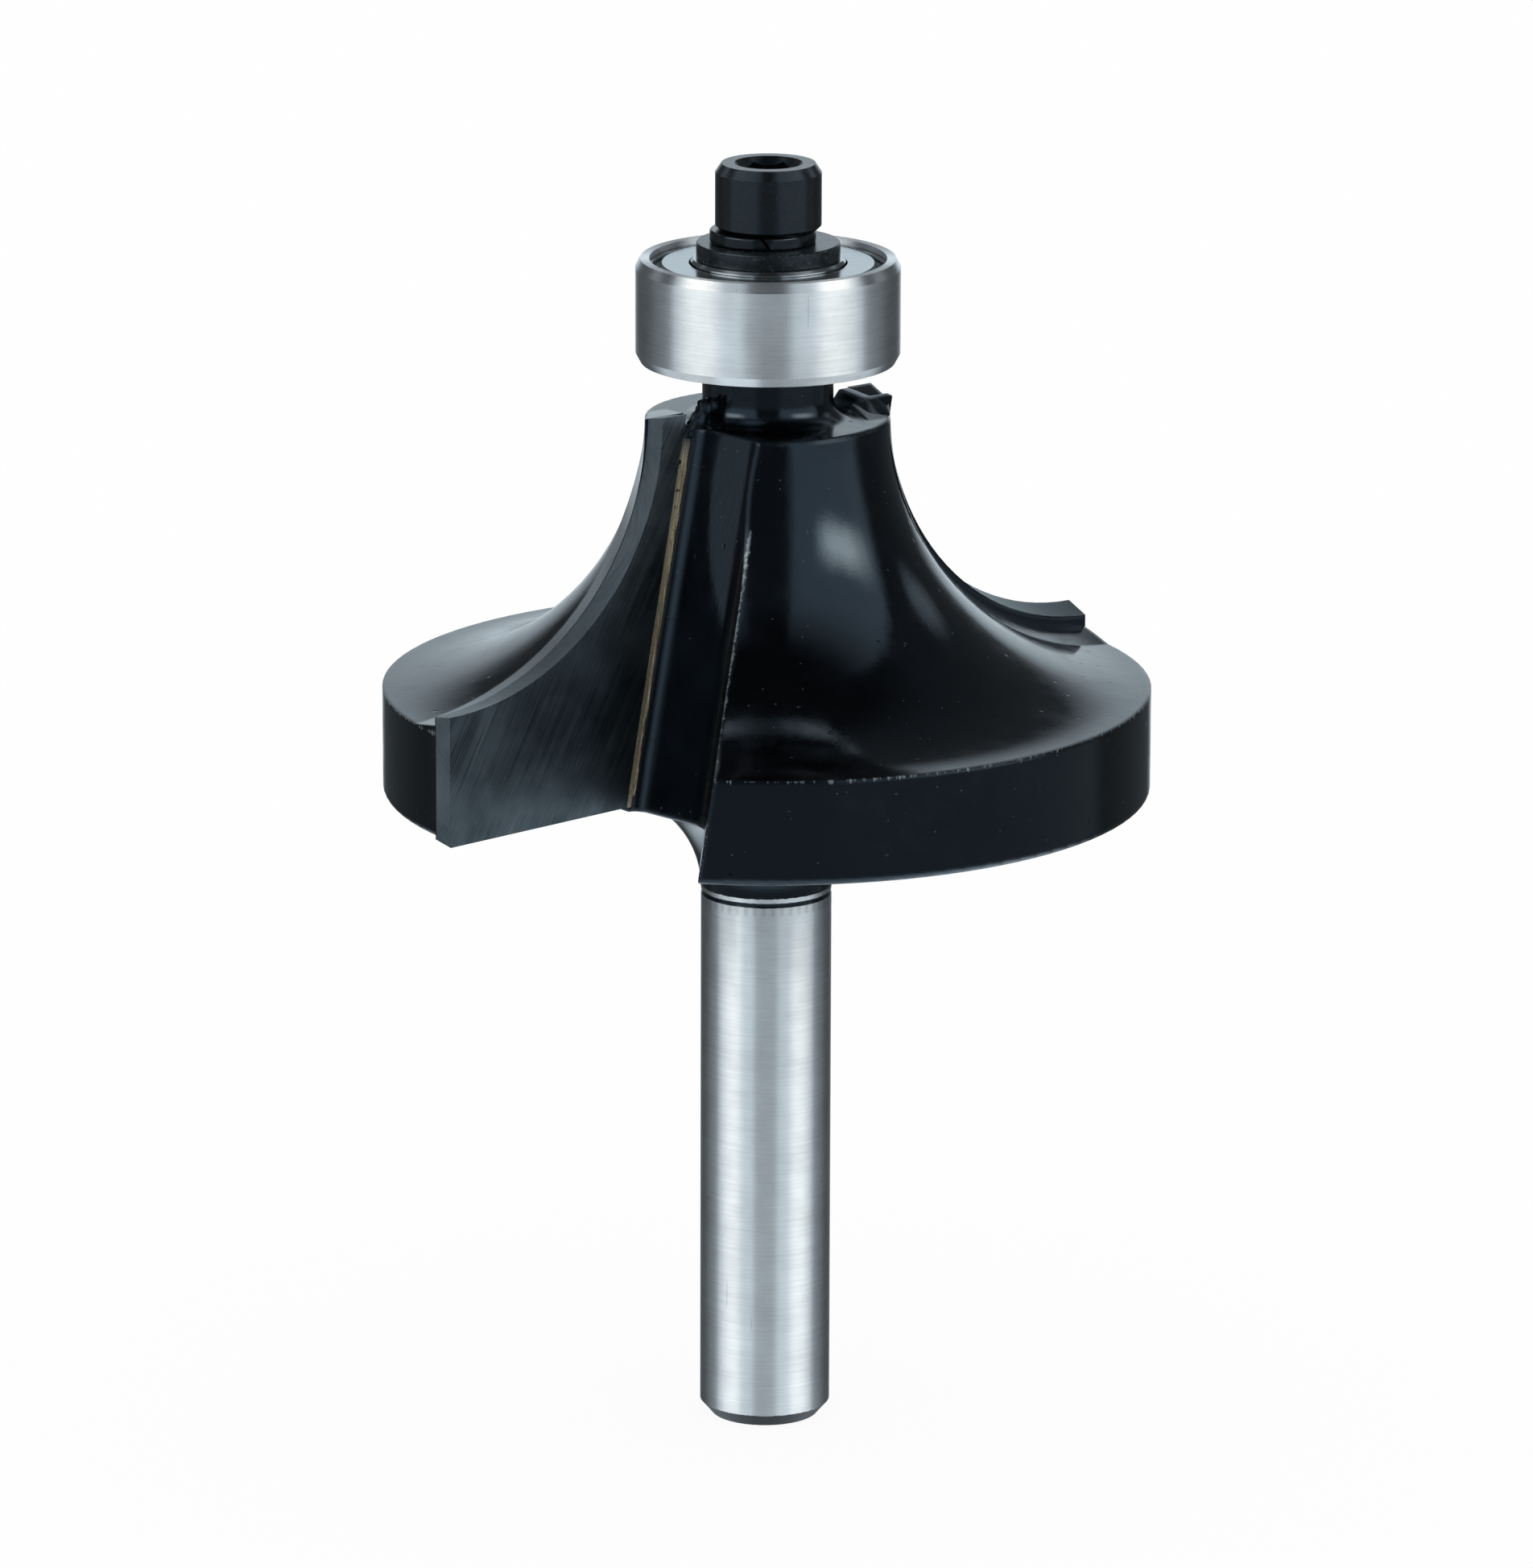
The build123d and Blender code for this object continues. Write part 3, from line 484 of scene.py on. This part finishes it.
def spring_wire():
    """Hard drawn wire: bright, with draw lines along it."""
    material, tree, mm = new_material("drawn_spring_wire")
    lines = add(tree, "ShaderNodeVectorMath", {0: mm, 1: (0.6, 0.6, 20.0)}, operation="MULTIPLY")
    draw = add(tree, "ShaderNodeTexNoise", {"Vector": lines, "Scale": 1.0, "Detail": 2.0})
    tint = add(tree, "ShaderNodeMix", {0: draw, 6: linear("#a5acb0"), 7: linear("#eef1f3")}, data_type="RGBA")
    values = {"Base Color": tint, "Metallic": 1.0, "Roughness": 0.22}
    add(tree, "ShaderNodeOutputMaterial", {"Surface": add(tree, "ShaderNodeBsdfPrincipled", values)})
    return material


def black_oxide(name, colour, worn_colour, roughness, ior):
    """Blackened steel: a dark oiled skin, rubbed thin in specks."""
    material, tree, mm = new_material(name)
    specks = add(tree, "ShaderNodeTexNoise", {"Vector": mm, "Scale": 3.5, "Detail": 6.0, "Roughness": 0.75})
    thin = add(tree, "ShaderNodeMapRange", {0: specks, 1: 0.55, 2: 0.75})
    tint = add(tree, "ShaderNodeMix", {0: thin, 6: linear(colour), 7: linear(worn_colour)}, data_type="RGBA")
    matt = add(
        tree, "ShaderNodeMapRange", {0: specks, 1: 0.3, 2: 0.7, 3: roughness - 0.05, 4: roughness + 0.08}
    )
    bump = add(tree, "ShaderNodeBump", {"Strength": 0.4, "Distance": 3e-6, "Height": specks})
    values = {
        "Base Color": tint,
        "Roughness": matt,
        "IOR": ior,
        "Specular Tint": linear("#d5e6f5"),
        "Normal": bump,
    }
    add(tree, "ShaderNodeOutputMaterial", {"Surface": add(tree, "ShaderNodeBsdfPrincipled", values)})
    return material


def dress(names, material):
    """Puts a material on CAD nodes."""
    for name in names:
        nodes[name].data.materials.clear()
        nodes[name].data.materials.append(material)


# ---------------------------------------------------------------- small pieces


def pick(piece, test):
    """Selects the points of a piece in Edit Mode that pass a test on their place in millimetres."""
    mesh = bmesh.from_edit_mesh(piece.data)
    for face in mesh.faces:
        face.select_set(False)
    for point in mesh.verts:
        point.select_set(test(point.co / MM))
    mesh.select_flush_mode()
    bmesh.update_edit_mesh(piece.data)


def start_piece(name, size, place):
    """A cube of a size and place in millimetres, left in Edit Mode with all of it selected."""
    bpy.ops.object.select_all(action="DESELECT")
    bpy.ops.mesh.primitive_cube_add(size=1, location=(0, 0, 0))
    piece = bpy.context.object
    piece.name = name
    bpy.ops.object.mode_set(mode="EDIT")
    bpy.ops.mesh.select_all(action="SELECT")
    bpy.ops.transform.resize(value=[side * MM for side in size])
    bpy.ops.transform.translate(value=[step * MM for step in place])
    return piece


def end_piece(piece, angle, smooth, finish):
    """Turns a piece that was made for a tip along +X to its tip, and lets it ride on the cutter."""
    bpy.ops.mesh.select_all(action="SELECT")
    bpy.ops.mesh.normals_make_consistent(inside=False)
    bpy.ops.transform.rotate(value=-math.radians(angle), orient_axis="Z", center_override=(0, 0, 0))
    bpy.ops.object.mode_set(mode="OBJECT")
    bpy.ops.object.shade_smooth_by_angle(angle=math.radians(smooth))
    piece.data.materials.append(finish)
    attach(piece, "cutter")


def back_tip_cap(finish):
    """The lacquered block that fills the corner between the back tip, its land and the collar."""
    cap = start_piece("back_tip_cap", (0.65, 0.5, 0.9), (4.62, -1.9, 50.15))
    # One arm runs forward along the tip's inner end, the other along its back
    pick(cap, lambda place: place.y > -1.7)
    bpy.ops.mesh.extrude_region_move(TRANSFORM_OT_translate={"value": (0, 1.6 * MM, 0)})
    pick(cap, lambda place: place.x > 4.9 and place.y < -1.6)
    bpy.ops.mesh.extrude_region_move(TRANSFORM_OT_translate={"value": (1.1 * MM, 0, 0)})
    # Its top rises forwards with the tip's, and its foot spreads towards the collar
    pick(cap, lambda place: place.z > 50.5 and place.y > -1.7)
    bpy.ops.transform.translate(value=(0, 0, 0.07 * MM))
    pick(cap, lambda place: place.z > 50.5 and place.y > -0.1)
    bpy.ops.transform.translate(value=(0, 0, 0.13 * MM))
    pick(cap, lambda place: place.z < 50 and place.x < 4.4)
    bpy.ops.transform.translate(value=(-0.85 * MM, 0.1 * MM, 0))
    # Behind, it runs out over the land in a long slope
    pick(cap, lambda place: place.z < 50 and place.y < -2.0 and place.x < 4)
    bpy.ops.transform.translate(value=(0.1 * MM, -1.35 * MM, 0.4 * MM))
    pick(cap, lambda place: place.z < 49.8 and place.y < -2.0 and place.x < 5.5)
    bpy.ops.transform.translate(value=(-0.5 * MM, -1.8 * MM, 0.42 * MM))
    pick(cap, lambda place: place.z < 49.8 and place.x > 5.5)
    bpy.ops.transform.translate(value=(-0.3 * MM, -0.1 * MM, 0.3 * MM))
    bpy.ops.mesh.select_all(action="SELECT")
    bpy.ops.mesh.bevel(offset=0.11 * MM, segments=4, affect="EDGES")
    end_piece(cap, BACK_TIP_ANGLE, 8, finish)


def foot_lump(finish):
    """The ragged lump of lacquer between the front tip's top and the collar's foot."""
    lump = start_piece("foot_lump", (2.1, 0.4, 1.7), (4.15, 0.0, 50.5))
    pick(lump, lambda place: place.z > 51 and place.x > 4)
    bpy.ops.transform.translate(value=(-1.2 * MM, 0, 0))
    bpy.ops.mesh.select_all(action="SELECT")
    bpy.ops.mesh.subdivide(number_cuts=7)
    bpy.ops.mesh.vertices_smooth(factor=0.5, repeat=2)
    bpy.ops.transform.vertex_random(offset=0.17 * MM, seed=7)
    end_piece(lump, TIP_ANGLE, 30, finish)


def braze_bead(name, angle, seed, finish):
    """The uneven bead of braze that runs down a tip's inner edge."""
    bead = start_piece(name, (0.5, 0.1, 17.2), (0, 0, 0))
    pick(bead, lambda place: place.z < 0)
    bpy.ops.transform.resize(value=(0.55, 1, 1))
    bpy.ops.mesh.select_all(action="SELECT")
    bpy.ops.mesh.subdivide(number_cuts=3)
    pick(bead, lambda place: True)
    bpy.ops.mesh.subdivide(number_cuts=5)
    bpy.ops.transform.vertex_random(offset=0.035 * MM, seed=seed)
    bpy.ops.transform.rotate(value=math.atan(GULLET_LEAN), orient_axis="Y", center_override=(0, 0, 0))
    bpy.ops.transform.translate(value=(6.42 * MM, 0.02 * MM, 41.0 * MM))
    end_piece(bead, angle, 60, finish)


scene.view_settings.view_transform = "Standard"
place_camera()
light_studio()
lay_floor()
dress(["cutter_body"], coated_steel())
dress(["carbide_tip_1", "carbide_tip_2"], ground_carbide())
# The outer ring's steel is painted near white, brighter than steel's own: painted light
dress(["bearing_outer_ring"], bearing_steel("ground_bearing_steel_painted_bright", "#fcfcfd", 0.37))
# The inner ring's steel is painted darker than the outer ring's: painted shade under the washer; its lower
# roughness is its own lapped finish
dress(["bearing_inner_ring"], bearing_steel("lapped_bearing_steel_painted_shade", "#c4c8ca", 0.15))
dress(["ball_cage", "shield_upper", "shield_lower"], pressed_steel())
dress([f"bearing_ball_{n}" for n in range(1, 8)], ball_steel())
dress(["shield_wire_upper", "shield_wire_lower"], spring_wire())
dress(["flat_washer"], black_oxide("black_oxide_washer", "#15191b", "#4a5154", 0.22, 1.6))
dress(["lock_washer"], black_oxide("blued_spring_steel", "#060708", "#16191b", 0.14, 1.6))
dress(["cap_screw"], black_oxide("black_oxide_screw", "#060708", "#14171a", 0.22, 1.7))
braze = silver_braze()
dress(["braze_seam_1", "braze_seam_2"], braze)
coat = lacquer()
back_tip_cap(coat)
foot_lump(coat)
braze_bead("braze_bead_1", TIP_ANGLE, 3, braze)
braze_bead("braze_bead_2", BACK_TIP_ANGLE, 5, braze)
